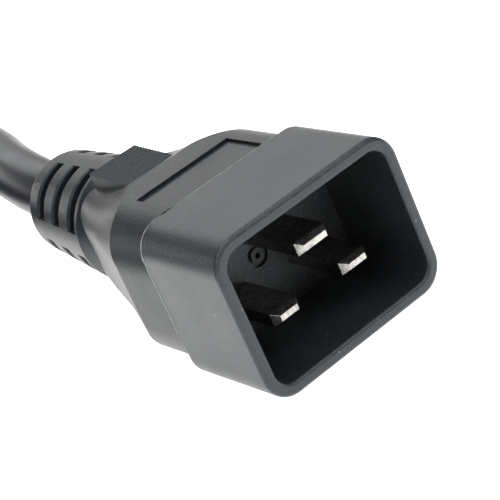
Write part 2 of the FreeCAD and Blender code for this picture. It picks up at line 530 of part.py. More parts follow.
def conductor(prefix, kind, along, across):
    """the insulation and the copper strands of one core, as drawn along its axial frame"""
    x, y = PINS[kind]
    # the bare end runs straight into the barrel, so both follow one line
    base = core_route(x, y, SEATS[kind], D["coreCordStart"], D["coreCordEnd"])
    ins = rod_along(base, D["coreCordRadius"])
    copper_path = core_route(x, y, SEATS[kind], D["strandStart"], D["coreCordEnd"])
    inner = rod_along(base, D["strandRadius"])
    lead = Part.makeCylinder(D["strandRadius"], D["coreCordStart"] - D["strandStart"], Vector(x, y, D["strandStart"]), Vector(0, 0, 1))
    copper = lead.fuse(inner).removeSplitter()
    tube = ins.cut(inner)
    place = Placement(Vector(across, along, D["axisHeight"]), LAID)
    outs = []
    for shp, nm in ((tube, "%s_%s_insulation" % (prefix, kind)), (copper, "%s_%s_strands" % (prefix, kind))):
        o = feature(nm.title().replace("_", ""), shp)
        o.Placement = place
        publish(o, nm)
        outs.append(o)
    return ins, copper


# ---------------------------------------------------------------- the cord's way from the plug to the winding
def in_part(v, across=0.0, along=None):
    along = D["plugFaceAt"] if along is None else along
    return Vector(across + v.x, along + v.z, D["axisHeight"] - v.y)


COIL_X, COIL_Y = D["coilAcross"], D["coilAlong"]
P0_LOCAL = PIVOT + DIR3 * (D["jacketStart"] - D["reliefPivot"])
ROUTE = [
    in_part(P0_LOCAL),
    Vector(0.83, 28.6, 12.5),
    Vector(0.83, 52.0, 14.4),
    Vector(10.2, 85.5, 13.0),
    Vector(11.5, 102.5, 8.2),
    Vector(11.5, 115.0, 6.2),
    Vector(11.5, COIL_Y, 5.1),
]
# the tube ends half way along a run, where the cord is still clear of the winding
MEET_IN = (ROUTE[2] + ROUTE[3]) * 0.5
tube = rod_along(ROUTE[:3] + [MEET_IN], CORD_R, "cord_tube")
# from the winding to the connector
TAIL = [
    Vector(-116.9, COIL_Y, 13.6),
    Vector(-116.3, 109.0, 13.2),
    Vector(-113.0, 92.0, 12.8),
    Vector(-106.0, 72.0, 12.5),
    in_part(Vector(0, 0, D["jacketStart"]), D["connectorAcross"], D["connectorFaceAt"]),
]
# the meeting point halves its run, so the arc beside it takes twice the share of what is left
MEET_OUT = (TAIL[2] + TAIL[3]) * 0.5
tail = rod_along([MEET_OUT] + TAIL[3:], CORD_R, "cord_tail", 0.9)


# ---------------------------------------------------------------- plug overmould with everything it is moulded around
hollow = []
core_tool = doc.addObject("PartDesign::Body", "CoreToolBody")
sk = new_sketch(core_tool, "CoreToolOutline", "XY_Plane", "Dims.hoodDepth"); rounded_rect(sk, "coreWidth", "coreHeight", "coreCorner")
ctp = core_tool.newObject("PartDesign::Pad", "CoreToolPad"); ctp.Profile = sk
bind(ctp, "Length", "Dims.coreEnd - Dims.hoodDepth")
hollow.append(core_tool)
doc.recompute()
shapes = []
for kind in ("line", "neutral", "earth"):
    ins, copper = conductor("plug", kind, D["plugFaceAt"], 0.0)
    x, y = PINS[kind]
    w = D["earthWidth"] if kind == "earth" else D["bladeWidth"]
    shapes.append(ins)
    shapes.append(copper)
    shapes.append(Part.makeBox(w, D["bladeThick"], D["bladeEnd"] - D["coreEnd"] + 1, Vector(x - w / 2, y - D["bladeThick"] / 2, D["coreEnd"] - 1)))
    shapes.append(Part.makeCylinder(D["barrelRadius"], D["barrelEnd"] - D["barrelStart"], Vector(x, y, D["barrelStart"]), Vector(0, 0, 1)))
bore = tube.copy()
bore.Placement = Placement(Vector(0, D["plugFaceAt"], D["axisHeight"]), LAID).inverse()
shapes.append(bore)
core = shapes[0]
for s in shapes[1:]:
    core = core.fuse(s)
hollow.append(feature("PlugCavity", core))
# a plain sunk panel in the band, on both broad sides
for nm, y in (("PlugPanelTop", "-Dims.hoodHeight / 2 - 1"), ("PlugPanelUnder", "Dims.hoodHeight / 2 - Dims.panelDepth")):
    hollow.append(add_box(nm, "Dims.panelWidth", "Dims.panelDepth + 1", "Dims.bandEnd - Dims.hoodDepth + 0.8",
                          "-Dims.panelWidth / 2 - Dims.panelShift", y, "Dims.hoodDepth - 1"))
om = cut("PlugOvermould", outer, fuse("PlugHollow", hollow))
lay(om)
publish(om, "plug_overmold")
doc.recompute()


# ---------------------------------------------------------------- connector on the far end
ACROSS, ALONG = "Dims.connectorAcross", "Dims.connectorFaceAt"
nose = doc.addObject("PartDesign::Body", "NoseBody")
sk = new_sketch(nose, "NoseOutline"); rounded_rect(sk, "noseWidth", "noseHeight", "noseCorner")
pad = nose.newObject("PartDesign::Pad", "NosePad"); pad.Profile = sk
bind(pad, "Length", "Dims.noseLength + 0.1")
doc.recompute()
fil = nose.newObject("PartDesign::Fillet", "NoseFillet")
fil.Base = (pad, edges_where(pad.Shape, lambda e: flat_at(e, 0.0)))
bind(fil, "Radius", "Dims.noseRound")
doc.recompute()
sk = new_sketch(nose, "NoseCoreOutline"); rounded_rect(sk, "coreWidth", "coreHeight", "coreCorner")
pad = nose.newObject("PartDesign::Pad", "NoseCorePad"); pad.Profile = sk
bind(pad, "Length", "Dims.coreEnd")
# the core is narrower than the nose, so it starts behind the nose's rounded front edge
sk.setExpression("AttachmentOffset.Base.z", "Dims.noseRound + 1")
bind(pad, "Length", "Dims.coreEnd - Dims.noseRound - 1")
doc.recompute()
tools = []
for tag, x, y, wide in (("Line", "Dims.bladeSpacing / 2", "Dims.bladeDrop", "Dims.slotLong"),
                        ("Neutral", "-Dims.bladeSpacing / 2", "Dims.bladeDrop", "Dims.slotLong"),
                        ("Earth", "0", "-Dims.earthRise", "Dims.slotEarthLong")):
    tools.append(add_box("Nose" + tag + "Slot", wide, "Dims.slotThick", "Dims.socketDeep + 1.5",
                         x + " - " + wide + " / 2", y + " - Dims.slotThick / 2", "-1"))
    tools.append(add_box("Nose" + tag + "Well", "Dims.socketWidth", "Dims.socketHeight", "Dims.coreEnd - Dims.socketDeep + 1",
                         x + " - Dims.socketWidth / 2", y + " - Dims.socketHeight / 2", "Dims.socketDeep"))
insert = cut("ConnectorInsert", nose, fuse("NoseTools", tools))
lay(insert, ACROSS, ALONG)
publish(insert, "connector_insert")


def socket(tag, x, y, label):
    """a folded brass contact: a box sleeve open at the front, and a crimp barrel"""
    sleeve = add_box(tag + "Sleeve", "Dims.socketWidth", "Dims.socketHeight", "Dims.socketEnd - Dims.socketDeep",
                     "-Dims.socketWidth / 2", "-Dims.socketHeight / 2", "Dims.socketDeep")
    mouth_ = add_box(tag + "Mouth", "Dims.socketMouth", "Dims.socketGap", "Dims.socketEnd - Dims.socketDeep",
                     "-Dims.socketMouth / 2", "-Dims.socketGap / 2", "Dims.socketDeep - 1.2")
    web = add_box(tag + "Web", "Dims.socketMouth", "Dims.bladeThick", "Dims.barrelStart + 0.8 - Dims.socketEnd + 0.4",
                  "-Dims.socketMouth / 2", "-Dims.bladeThick / 2", "Dims.socketEnd - 0.4")
    barrel = add_rod(tag + "SocketBarrel", "Dims.barrelRadius", "Dims.barrelEnd - Dims.barrelStart", "0", "0", "Dims.barrelStart")
    bore = add_rod(tag + "SocketBore", "Dims.strandRadius", "Dims.barrelEnd - Dims.strandStart + 1", "0", "0", "Dims.strandStart")
    o = cut(tag + "Socket", fuse(tag + "SocketSolid", [sleeve, web, barrel]), fuse(tag + "SocketTools", [mouth_, bore]))
    o.Placement = Placement(Vector(0, 0, 0), LAID)
    bind(o, "Placement.Base.x", ACROSS + " + (" + x + ")")
    bind(o, "Placement.Base.y", ALONG)
    bind(o, "Placement.Base.z", "Dims.axisHeight - (" + y + ")")
    return publish(o, label)


socket("Line", "Dims.bladeSpacing / 2", "Dims.bladeDrop", "connector_line_socket")
socket("Neutral", "-Dims.bladeSpacing / 2", "Dims.bladeDrop", "connector_neutral_socket")
socket("Earth", "0", "-Dims.earthRise", "connector_earth_socket")
PINS = {"line": (D["bladeSpacing"] / 2, D["bladeDrop"]), "neutral": (-D["bladeSpacing"] / 2, D["bladeDrop"]), "earth": (0.0, -D["earthRise"])}
SEATS = {"line": SEATS["neutral"], "neutral": SEATS["line"], "earth": SEATS["earth"]}

body, block, under, relief = overmould_solid("Connector", False)
relief.Placement = Placement(Vector(0, 0, D["reliefPivot"]), plan_rotation(0.0, D["reliefTurn"]))
bind(relief, "Placement.Base.z", "Dims.reliefPivot")
outer = fuse("ConnectorOuter", body + [block, under, relief])
doc.recompute()
hollow = []
core_tool = doc.addObject("PartDesign::Body", "ConnectorCoreToolBody")
sk = new_sketch(core_tool, "ConnectorCoreToolOutline", "XY_Plane", "Dims.hoodDepth"); rounded_rect(sk, "coreWidth", "coreHeight", "coreCorner")
ctp = core_tool.newObject("PartDesign::Pad", "ConnectorCoreToolPad"); ctp.Profile = sk
bind(ctp, "Length", "Dims.coreEnd - Dims.hoodDepth")
hollow.append(core_tool)
doc.recompute()
shapes = []
for kind in ("line", "neutral", "earth"):
    ins, copper = conductor("connector", kind, D["connectorFaceAt"], D["connectorAcross"])
    x, y = PINS[kind]
    w = D["socketMouth"]
    shapes.append(ins)
    shapes.append(copper)
    shapes.append(Part.makeBox(w, D["bladeThick"], D["barrelStart"] + 0.8 - D["coreEnd"] + 1, Vector(x - w / 2, y - D["bladeThick"] / 2, D["coreEnd"] - 1)))
    shapes.append(Part.makeCylinder(D["barrelRadius"], D["barrelEnd"] - D["barrelStart"], Vector(x, y, D["barrelStart"]), Vector(0, 0, 1)))
bore = tail.copy()
bore.Placement = Placement(Vector(D["connectorAcross"], D["connectorFaceAt"], D["axisHeight"]), LAID).inverse()
shapes.append(bore)
core = shapes[0]
for s in shapes[1:]:
    core = core.fuse(s)
hollow.append(feature("ConnectorCavity", core))
for nm, y in (("ConnectorPanelTop", "-Dims.hoodHeight / 2 - 1"), ("ConnectorPanelUnder", "Dims.hoodHeight / 2 - Dims.panelDepth")):
    hollow.append(add_box(nm, "Dims.panelWidth", "Dims.panelDepth + 1", "Dims.bandEnd - Dims.hoodDepth + 0.8 - 2.6",
                          "-Dims.panelWidth / 2 - Dims.panelShift", y, "Dims.hoodDepth + 1.6"))
om2 = cut("ConnectorOvermould", outer, fuse("ConnectorHollow", hollow))
lay(om2, ACROSS, ALONG)
publish(om2, "connector_overmold")
doc.recompute()

# ---------------------------------------------------------------- cord: tube, coil, tail, tie
# the tube stops just before the winding, half way along the run to the next point, face to face with it
publish(feature("CordTube", tube), "cord_tube")


def ring_section(extra=0.0, lift=0.0):
    """the outline of the wound turns seen along the cord: three below, two in the gaps above"""
    r = D["coilEdge"] + extra
    inner, outer_, ti, to = D["coilInner"] + D["coilEdge"], D["coilOuter"] - D["coilEdge"], D["coilTopInner"] + D["coilEdge"], D["coilTopOuter"] - D["coilEdge"]
    low, up = D["coilEdge"] + lift, D["coilHeight"] - D["coilEdge"] + lift
    cs = [(inner, low), (outer_, low), (to, up), (ti, up)]
    n = len(cs)
    edges = []
    tang = []
    for i in range(n):
        a, b = cs[i], cs[(i + 1) % n]
        dx, dz = b[0] - a[0], b[1] - a[1]
        L = math.hypot(dx, dz)
        nx, nz = dz / L, -dx / L
        tang.append(((a[0] + nx * r, a[1] + nz * r), (b[0] + nx * r, b[1] + nz * r)))
    V = lambda p: Vector(p[0], 0, p[1])
    for i in range(n):
        p, q = tang[i]
        edges.append(Part.LineSegment(V(p), V(q)).toShape())
        c = cs[(i + 1) % n]
        nxt = tang[(i + 1) % n][0]
        mx, mz = (q[0] + nxt[0]) / 2 - c[0], (q[1] + nxt[1]) / 2 - c[1]
        mL = math.hypot(mx, mz)
        mid = (c[0] + mx / mL * r, c[1] + mz / mL * r)
        edges.append(Part.Arc(V(q), V(mid), V(nxt)).toShape())
    return Part.Wire(edges)


centre = Vector(COIL_X, COIL_Y, 0)
tie_turn = D["tieAngle"]
ring = Part.Face(ring_section()).revolve(Vector(0, 0, 0), Vector(0, 0, 1), 360)
ring.rotate(Vector(0, 0, 0), Vector(0, 0, 1), tie_turn)
ring.translate(centre)


def beside_tie(shape):
    """lays a straight length of the bundle, drawn along +Y, across the ring where the tie is"""
    shape.translate(Vector(0, -D["tieWidth"] / 2, 0))
    shape.rotate(Vector(0, 0, 0), Vector(0, 0, 1), tie_turn)
    shape.translate(centre)
    return shape


# the tie: a flat strap drawn tight round the bundle, which it squeezes a little and lifts by its thickness
HUG = 0.3
gap = beside_tie(Part.makeBox(60, D["tieWidth"], 40, Vector(30, 0, -10)))
waist = beside_tie(Part.Face(ring_section(-HUG, D["tieThick"] - HUG)).extrude(Vector(0, D["tieWidth"], 0)))
strap = beside_tie(Part.Face(ring_section(D["tieThick"] - HUG, D["tieThick"] - HUG)).extrude(Vector(0, D["tieWidth"], 0)))
tie = strap.cut(waist)
coil = ring.cut(gap).fuse(waist).removeSplitter()

entry = rod_along([MEET_IN] + ROUTE[3:], CORD_R, "coil entry")
leave = rod_along([MEET_OUT, TAIL[2], TAIL[1], TAIL[0]], CORD_R, "coil exit")
coil = coil.fuse(entry).fuse(leave).removeSplitter()
print("coil solids", len(coil.Solids), "tie solids", len(tie.Solids))
publish(feature("CordCoil", coil), "cord_coil")
publish(feature("CableTie", tie), "cable_tie")

publish(feature("CordTail", tail), "cord_tail")

doc.recompute()

# ---------------------------------------------------------------- checks, then the files
bad = []
for o in doc.Objects:
    if any(s in ("Invalid", "Error") for s in o.State):
        bad.append(o.Name + str(o.State))
for o in parts_out:
    s = o.Shape
    if s.isNull() or not s.isValid() or len(s.Solids) < 1:
        bad.append("shape " + o.Label)
if bad:
    raise RuntimeError("not sound: " + ", ".join(bad))
os.makedirs("parts", exist_ok=True)
for o in parts_out:
    o.Shape.exportStep("parts/%s.step" % o.Label)
    b = o.Shape.BoundBox
    print("%-28s solids %d  vol %9.1f  x %.1f..%.1f  y %.1f..%.1f  z %.1f..%.1f" % (
        o.Label, len(o.Shape.Solids), o.Shape.Volume, b.XMin, b.XMax, b.YMin, b.YMax, b.ZMin, b.ZMax))
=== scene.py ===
# Looks of a power lead: the plug lies on a broad side, its cord runs off to the left into a tied coil,
# and the matching connector lies beside the coil. Metres, in the frame of the model.
import math
import bpy
import bmesh
from mathutils import Matrix, Vector


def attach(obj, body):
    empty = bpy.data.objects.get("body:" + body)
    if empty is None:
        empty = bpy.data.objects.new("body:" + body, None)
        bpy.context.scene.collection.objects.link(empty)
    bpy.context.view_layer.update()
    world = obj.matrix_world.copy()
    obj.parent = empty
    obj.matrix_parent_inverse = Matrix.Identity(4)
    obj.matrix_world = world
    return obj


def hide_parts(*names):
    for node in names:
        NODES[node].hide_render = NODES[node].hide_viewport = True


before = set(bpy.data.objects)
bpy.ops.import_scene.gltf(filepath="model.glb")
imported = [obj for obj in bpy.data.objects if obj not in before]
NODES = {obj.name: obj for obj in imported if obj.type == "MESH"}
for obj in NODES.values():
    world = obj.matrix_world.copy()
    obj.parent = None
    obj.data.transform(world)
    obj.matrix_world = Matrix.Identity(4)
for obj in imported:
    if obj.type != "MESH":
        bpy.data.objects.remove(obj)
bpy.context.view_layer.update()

MM = 0.001


# ------------------------------------------------------------------ camera
cam_data = bpy.data.cameras.new("Camera")
cam = bpy.data.objects.new("Camera", cam_data)
bpy.context.scene.collection.objects.link(cam)
cam_data.sensor_width = 36.0
cam_data.lens = 129.2669
cam_data.clip_start, cam_data.clip_end = 0.01, 20.0
cam.matrix_world = Matrix((
    (0.732880282, 0.534483320, -0.420968018, -0.108456549),
    (-0.566540571, 0.136823294, -0.812595328, -0.226533346),
    (-0.376720418, 0.834030555, 0.403081580, 0.115792738),
    (0.0, 0.0, 0.0, 1.0)))
bpy.context.scene.camera = cam


# ------------------------------------------------------------------ the cord, from the plug to the connector
# the same points as the model's route, then the winding, then the way to the connector
ROUTE = [
    (-0.000105, 0.01080, 0.0125),
    (0.00083, 0.0286, 0.0125),
    (0.00083, 0.0520, 0.0144),
    (0.0102, 0.0855, 0.0130),
    (0.0115, 0.1025, 0.0082),
    (0.0115, 0.1150, 0.0062),
    (0.0115, 0.1290, 0.0051),
]
TAIL = [
    (-0.1163, 0.1090, 0.0132),
    (-0.1130, 0.0920, 0.0128),
    (-0.1060, 0.0720, 0.0125),
    (-0.1060, 0.0358, 0.0125),
]
COIL_AT = (-0.0525, 0.129)
PER_TURN = 16
CORD_D = 0.010
FIRST_R, STEP_R, UP_AT, TURNS = 64.0, 10.2, 2.35, 4.5
TIE_AT, TIE_LIFT = 60.0 / 360.0, 1.2


def lower_radius(turn):
    return FIRST_R - STEP_R * turn


def upper_radius(turn):
    return lower_radius(UP_AT + 0.13 - 1.0) - 5.07 + STEP_R * (turn - UP_AT - 0.13)


def rest_height(turn, radius):
    """how high the cord lies over the lower turns that pass under it at this angle"""
    top = 5.1
    part = turn % 1.0
    for k in range(3):
        t = part + k
        if t < UP_AT:
            off = abs(radius - lower_radius(t))
            if off < 10.1:
                top = max(top, 5.1 + math.sqrt(10.1 ** 2 - off ** 2))
    return top


def winding():
    """the turns: a flat spiral inwards on the floor, then a second layer that winds outwards on it"""
    pts = []
    n = int(TURNS * PER_TURN)
    for i in range(1, n + 1):
        turn = i / PER_TURN
        if turn <= UP_AT - 0.06:
            r, z = lower_radius(turn), 5.1
        elif turn < UP_AT + 0.13:
            # climbs over the shoulder of the turn outside it
            s = (turn - (UP_AT - 0.06)) / 0.19
            over = lower_radius(turn - 1.0)
            a = math.radians(180 - 60 * s)
            r, z = over + 10.15 * math.cos(a), 5.1 + 10.15 * math.sin(a)
        else:
            r = upper_radius(turn)
            z = rest_height(turn, r)
        near = (turn - TIE_AT) % 1.0
        near = min(near, 1.0 - near) * 360.0
        z += TIE_LIFT * max(0.0, 1.0 - (near / 34.0) ** 2) ** 1.5 if near < 34.0 else 0.0
        a = turn * 2 * math.pi
        rc = r / (0.5 + 0.5 * math.cos(2 * math.pi / PER_TURN)) ** 0.5
        pts.append((COIL_AT[0] + rc * MM * math.cos(a), COIL_AT[1] + rc * MM * math.sin(a), z * MM))
    return pts


def spline_curve(name, points, width, resolution=6, sides=10):
    data = bpy.data.curves.new(name, "CURVE")
    data.dimensions = "3D"
    s = data.splines.new("NURBS")
    s.points.add(len(points) - 1)
    for p, co in zip(s.points, points):
        p.co = (co[0], co[1], co[2], 1.0)
        p.radius = width / 2
    s.order_u = 3
    s.use_endpoint_u = True
    data.resolution_u = resolution
    data.bevel_depth = 1.0
    data.bevel_resolution = sides
    data.use_fill_caps = True
    o = bpy.data.objects.new(name, data)
    bpy.context.scene.collection.objects.link(o)
    return o


cord_points = ROUTE + winding() + TAIL
cord = spline_curve("power_cord", cord_points, CORD_D, 8, 12)
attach(cord, "root")
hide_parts("cord_tube", "cord_coil", "cord_tail")


# ------------------------------------------------------------------ small pieces made here
def add_mesh(name, verts, faces):
    me = bpy.data.meshes.new(name)
    me.from_pydata(verts, [], faces)
    me.update()
    o = bpy.data.objects.new(name, me)
    bpy.context.scene.collection.objects.link(o)
    return o


def outward(me):
    """all faces turned outwards, and smooth"""
    bm = bmesh.new()
    bm.from_mesh(me)
    bmesh.ops.recalc_face_normals(bm, faces=bm.faces[:])
    for f in bm.faces:
        f.smooth = True
    bm.to_mesh(me)
    bm.free()


def rings(name, loops):
    """a closed skin over a row of equal loops of points"""
    m = len(loops[0])
    verts = [v for loop in loops for v in loop]
    faces = []
    for i in range(len(loops) - 1):
        for j in range(m):
            a, b = i * m + j, i * m + (j + 1) % m
            faces.append((a, b, b + m, a + m))
    faces.append(tuple(range(m)))
    faces.append(tuple((len(loops) - 1) * m + j for j in range(m)))
    o = add_mesh(name, verts, faces)
    outward(o.data)
    return o


def tied_turns():
    """radius and height of the turns that the strap goes round"""
    found = []
    for k in range(5):
        t = TIE_AT + k
        if t <= UP_AT - 0.06:
            found.append((lower_radius(t), 5.1 + 0.95 * TIE_LIFT))
        elif UP_AT + 0.13 <= t <= TURNS:
            r = upper_radius(t)
            found.append((r, rest_height(t, r) + 0.95 * TIE_LIFT))
    return found


def hull(points):
    points = sorted(points)
    chain = []
    for seq in (points, points[::-1]):
        part = []
        for q in seq:
            while len(part) > 1 and ((part[-1][0] - part[-2][0]) * (q[1] - part[-2][1])
                                     - (part[-1][1] - part[-2][1]) * (q[0] - part[-2][0])) <= 0:
                part.pop()
            part.append(q)
        chain += part[:-1]
    return chain


def along(path, s):
    """point and outward direction at a distance along a closed path that runs anticlockwise"""
    total = sum(math.dist(path[i], path[(i + 1) % len(path)]) for i in range(len(path)))
    s %= total
    for i in range(len(path)):
        a, b = path[i], path[(i + 1) % len(path)]
        d = math.dist(a, b)
        if s <= d:
            t = s / d
            return (a[0] + (b[0] - a[0]) * t, a[1] + (b[1] - a[1]) * t), ((b[1] - a[1]) / d, -(b[0] - a[0]) / d)
        s -= d
    return path[0], (0.0, 1.0)


STRAP_W, STRAP_T, OVERLAP = 12.0, 1.0, 27.0


def strap_round_coil():
    """a hook-and-loop strap pulled tight round the turns, its free end laid over its start"""
    gap = 5.0 + STRAP_T / 2 + 0.22
    ring = [(r + gap * math.cos(2 * math.pi * i / 40), z + gap * math.sin(2 * math.pi * i / 40))
            for r, z in tied_turns() for i in range(40)]
    path = hull(ring)
    total = sum(math.dist(path[i], path[(i + 1) % len(path)]) for i in range(len(path)))
    # starts on top, near the outer turns
    start = min(range(400), key=lambda i: -along(path, total * i / 400)[0][1]
                + 0.02 * abs(along(path, total * i / 400)[0][0] - 50.0)) * total / 400
    a = TIE_AT * 2 * math.pi
    er, et = (math.cos(a), math.sin(a)), (-math.sin(a), math.cos(a))
    loops = []
    count = 190
    for i in range(count + 1):
        s = (total + OVERLAP) * i / count
        (r, z), (nr, nz) = along(path, start - s)
        (r2, z2), (nr2, nz2) = along(path, start - s + 1.2)
        (r3, z3), (nr3, nz3) = along(path, start - s - 1.2)
        nr, nz = (nr + nr2 + nr3) / 3, (nz + nz2 + nz3) / 3
        size = math.hypot(nr, nz)
        nr, nz = nr / size, nz / size
        u = min(1.0, max(0.0, (s - total + 5.0) / 7.0))
        lift = (STRAP_T + 0.08) * u * u * (3 - 2 * u) + 0.05 * math.sin(s * 0.7)
        tail = total + OVERLAP - s
        if tail < 5.0:
            lift += 0.35 * (1 - tail / 5.0) ** 2
        half = STRAP_W / 2 + 0.06 * math.sin(s * 1.9) + 0.04 * math.sin(s * 5.3)
        if tail < 3.5:
            half *= 0.62 + 0.38 * math.sqrt(max(0.0, 1 - (1 - tail / 3.5) ** 2))
        loop = []
        for side in (1, -1):
            for j in range(9):
                w = (j / 4.0 - 1.0) * side
                edge = 1.0 if abs(w) < 0.99 else 0.55
                off = lift + side * STRAP_T / 2 * edge - 0.12 * w * w
                pr, pz, pw = r + nr * off, max(0.06, z + nz * off), w * half
                loop.append(((COIL_AT[0] + (er[0] * pr + et[0] * pw) * MM), (COIL_AT[1] + (er[1] * pr + et[1] * pw) * MM), pz * MM))
        loops.append(loop)
    return rings("coil_strap", loops)


strap = strap_round_coil()
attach(strap, "root")
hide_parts("cable_tie")


def seam_bead(name, start, end, thick=1.0):
    """a hair-thin bead along the joint between hood and band, by distance along their outline: moulding flash coloured
    pale as a painted highlight, or a near-black line of painted shade in the gap
    """
    y0, hw, hh, rc = -18.50, 16.4, 12.5, 4.40
    side = 2 * hh - 2 * rc
    top = 2 * hw - 2 * rc
    arc = math.pi / 2 * rc

    def spot(s):
        # from the foot of the left side up, over the top and down the right side
        if s < side:
            return (-hw, rc + s), (-1.0, 0.0)
        s -= side
        if s < arc:
            a = math.pi - s / rc
            return (-hw + rc + rc * math.cos(a), 2 * hh - rc + rc * math.sin(a)), (math.cos(a), math.sin(a))
        s -= arc
        if s < top:
            return (-hw + rc + s, 2 * hh), (0.0, 1.0)
        s -= top
        if s < arc:
            a = math.pi / 2 - s / rc
            return (hw - rc + rc * math.cos(a), 2 * hh - rc + rc * math.sin(a)), (math.cos(a), math.sin(a))
        s -= arc
        return (hw, 2 * hh - rc - s), (1.0, 0.0)

    loops = []
    n = int((end - start) / 0.35)
    for i in range(n + 1):
        s = start + (end - start) * i / n
        (x, z), (nx, nz) = spot(s)
        fade = min(1.0, 4.0 * min(i, n - i) / n + 0.15)
        w = (0.055 + 0.018 * math.sin(3.1 * s) + 0.012 * math.sin(7.7 * s)) * fade * thick
        loops.append([((x + nx * w * math.cos(b)) * MM, (y0 + w * 1.1 * math.sin(b)) * MM, (z + nz * w * math.cos(b)) * MM)
                      for b in (2 * math.pi * k / 6 for k in range(6))])
    return rings(name, loops)


LEFT_TO = 2 * 12.5 - 2 * 4.40 + math.pi / 2 * 4.40 + 0.6
# the pale colour of these flash beads is a painted highlight along the joint's edge
HIGHLIGHT_BEADS = [seam_bead("seam_flash_highlight_left", 0.4, LEFT_TO), seam_bead("seam_flash_highlight_top", LEFT_TO + 2.6, LEFT_TO + 23.0, 0.6), seam_bead("seam_flash_highlight_right", LEFT_TO + 34.0, LEFT_TO + 38.0)]
# the pale line is missing for a short way at the corner, where the joint shows dark; a near-black bead there is
# painted shade of the gap in the joint
GAP_SHADE = seam_bead("seam_gap_shade_top", LEFT_TO + 0.1, LEFT_TO + 2.6, 1.3)
for bead in HIGHLIGHT_BEADS + [GAP_SHADE]:
    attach(bead, "root")


# ------------------------------------------------------------------ materials
def new_material(name):
    m = bpy.data.materials.new(name)
    m.use_nodes = True
    nt = m.node_tree
    for n in list(nt.nodes):
        nt.nodes.remove(n)
    out = nt.nodes.new("ShaderNodeOutputMaterial")
    bsdf = nt.nodes.new("ShaderNodeBsdfPrincipled")
    nt.links.new(bsdf.outputs["BSDF"], out.inputs["Surface"])
    coord = nt.nodes.new("ShaderNodeTexCoord")
    return m, nt, bsdf, coord.outputs["Object"]


def noise(nt, vec, scale, detail=3.0, rough=0.6, distort=0.0, stretch=None):
    if stretch:
        mp = nt.nodes.new("ShaderNodeMapping")
        mp.inputs["Scale"].default_value = stretch
        nt.links.new(vec, mp.inputs["Vector"])
        vec = mp.outputs["Vector"]
    n = nt.nodes.new("ShaderNodeTexNoise")
    n.inputs["Scale"].default_value = scale
    n.inputs["Detail"].default_value = detail
    n.inputs["Roughness"].default_value = rough
    n.inputs["Distortion"].default_value = distort
    nt.links.new(vec, n.inputs["Vector"])
    return n.outputs["Fac"]


def remap(nt, fac, a, b, lo=0.3, hi=0.7):
    mr = nt.nodes.new("ShaderNodeMapRange")
    mr.inputs["From Min"].default_value = lo
    mr.inputs["From Max"].default_value = hi
    mr.inputs["To Min"].default_value = a
    mr.inputs["To Max"].default_value = b
    nt.links.new(fac, mr.inputs["Value"])
    return mr.outputs["Result"]


def mix_colour(nt, fac, a, b):
    mx = nt.nodes.new("ShaderNodeMix")
    mx.data_type = "RGBA"
    sockets = [s for s in mx.inputs if s.type == "RGBA"]
    sockets[0].default_value = (*a, 1.0)
    sockets[1].default_value = (*b, 1.0)
    nt.links.new(fac, [s for s in mx.inputs if s.name == "Factor" and s.type == "VALUE"][0])
    return [s for s in mx.outputs if s.type == "RGBA"][0], sockets


def bump(nt, height, strength, distance, normal=None):
    b = nt.nodes.new("ShaderNodeBump")
    b.inputs["Strength"].default_value = strength
    b.inputs["Distance"].default_value = distance
    nt.links.new(height, b.inputs["Height"])
    if normal is not None:
        nt.links.new(normal, b.inputs["Normal"])
    return b.outputs["Normal"]


def moulded(name, dark, light, rough, grain, grain_depth, specular=0.5):
    """moulded plastic: an even dark colour with slow variation, a fine spark-eroded grain and a few pale specks"""
    m, nt, bsdf, vec = new_material(name)
    slow = noise(nt, vec, 120.0, 4.0, 0.55)
    fine = noise(nt, vec, grain, 2.0, 0.5)
    tone = nt.nodes.new("ShaderNodeMath")
    tone.operation = "MULTIPLY"
    nt.links.new(remap(nt, slow, 0.55, 1.0), tone.inputs[0])
    nt.links.new(remap(nt, fine, 0.0, 1.0, 0.35, 0.65), tone.inputs[1])
    colour, _ = mix_colour(nt, tone.outputs[0], dark, light)
    dust, sockets = mix_colour(nt, remap(nt, noise(nt, vec, 1500.0, 1.0, 0.5), 0.0, 1.0, 0.80, 0.83), dark, (0.30, 0.31, 0.32))
    nt.links.new(colour, sockets[0])
    nt.links.new(dust, bsdf.inputs["Base Color"])
    nt.links.new(remap(nt, slow, rough - 0.03, rough + 0.05), bsdf.inputs["Roughness"])
    bsdf.inputs["Specular Tint"].default_value = (0.90, 0.97, 1.0, 1.0)
    normal = bump(nt, slow, 0.12, 0.00008)
    normal = bump(nt, fine, 0.8, grain_depth, normal)
    nt.links.new(normal, bsdf.inputs["Normal"])
    bsdf.inputs["Specular IOR Level"].default_value = specular
    return m


hood_mat = moulded("hood_grain", (0.008, 0.0088, 0.0102), (0.021, 0.024, 0.027), 0.34, 3600.0, 0.00010)
mould_mat = moulded("overmould_satin", (0.006, 0.0066, 0.0078), (0.019, 0.0215, 0.0245), 0.35, 3600.0, 0.00008, specular=0.34)
insert_mat = moulded("insert_smooth", (0.028, 0.030, 0.033), (0.034, 0.036, 0.039), 0.36, 4200.0, 0.000008)
jacket_mat = moulded("jacket_satin", (0.012, 0.013, 0.015), (0.016, 0.017, 0.020), 0.36, 2600.0, 0.00001)


def plated(name, colour, rough):
    """nickel-plated strip: drawn lines along the blade, with small stains"""
    m, nt, bsdf, vec = new_material(name)
    lines = noise(nt, vec, 900.0, 2.0, 0.5, 0.0, (3.0, 0.15, 3.0))
    spots = noise(nt, vec, 1300.0, 4.0, 0.65)
    c, _ = mix_colour(nt, remap(nt, spots, 0.0, 1.0, 0.42, 0.66), colour, tuple(0.5 * x for x in colour))
    nt.links.new(c, bsdf.inputs["Base Color"])
    bsdf.inputs["Metallic"].default_value = 1.0
    nt.links.new(remap(nt, lines, rough, rough + 0.06), bsdf.inputs["Roughness"])
    edge = nt.nodes.new("ShaderNodeBevel")
    edge.samples = 6
    edge.inputs["Radius"].default_value = 0.00012
    nt.links.new(bump(nt, lines, 0.2, 0.000004, bump(nt, spots, 0.2, 0.00001, edge.outputs["Normal"])), bsdf.inputs["Normal"])
    return m


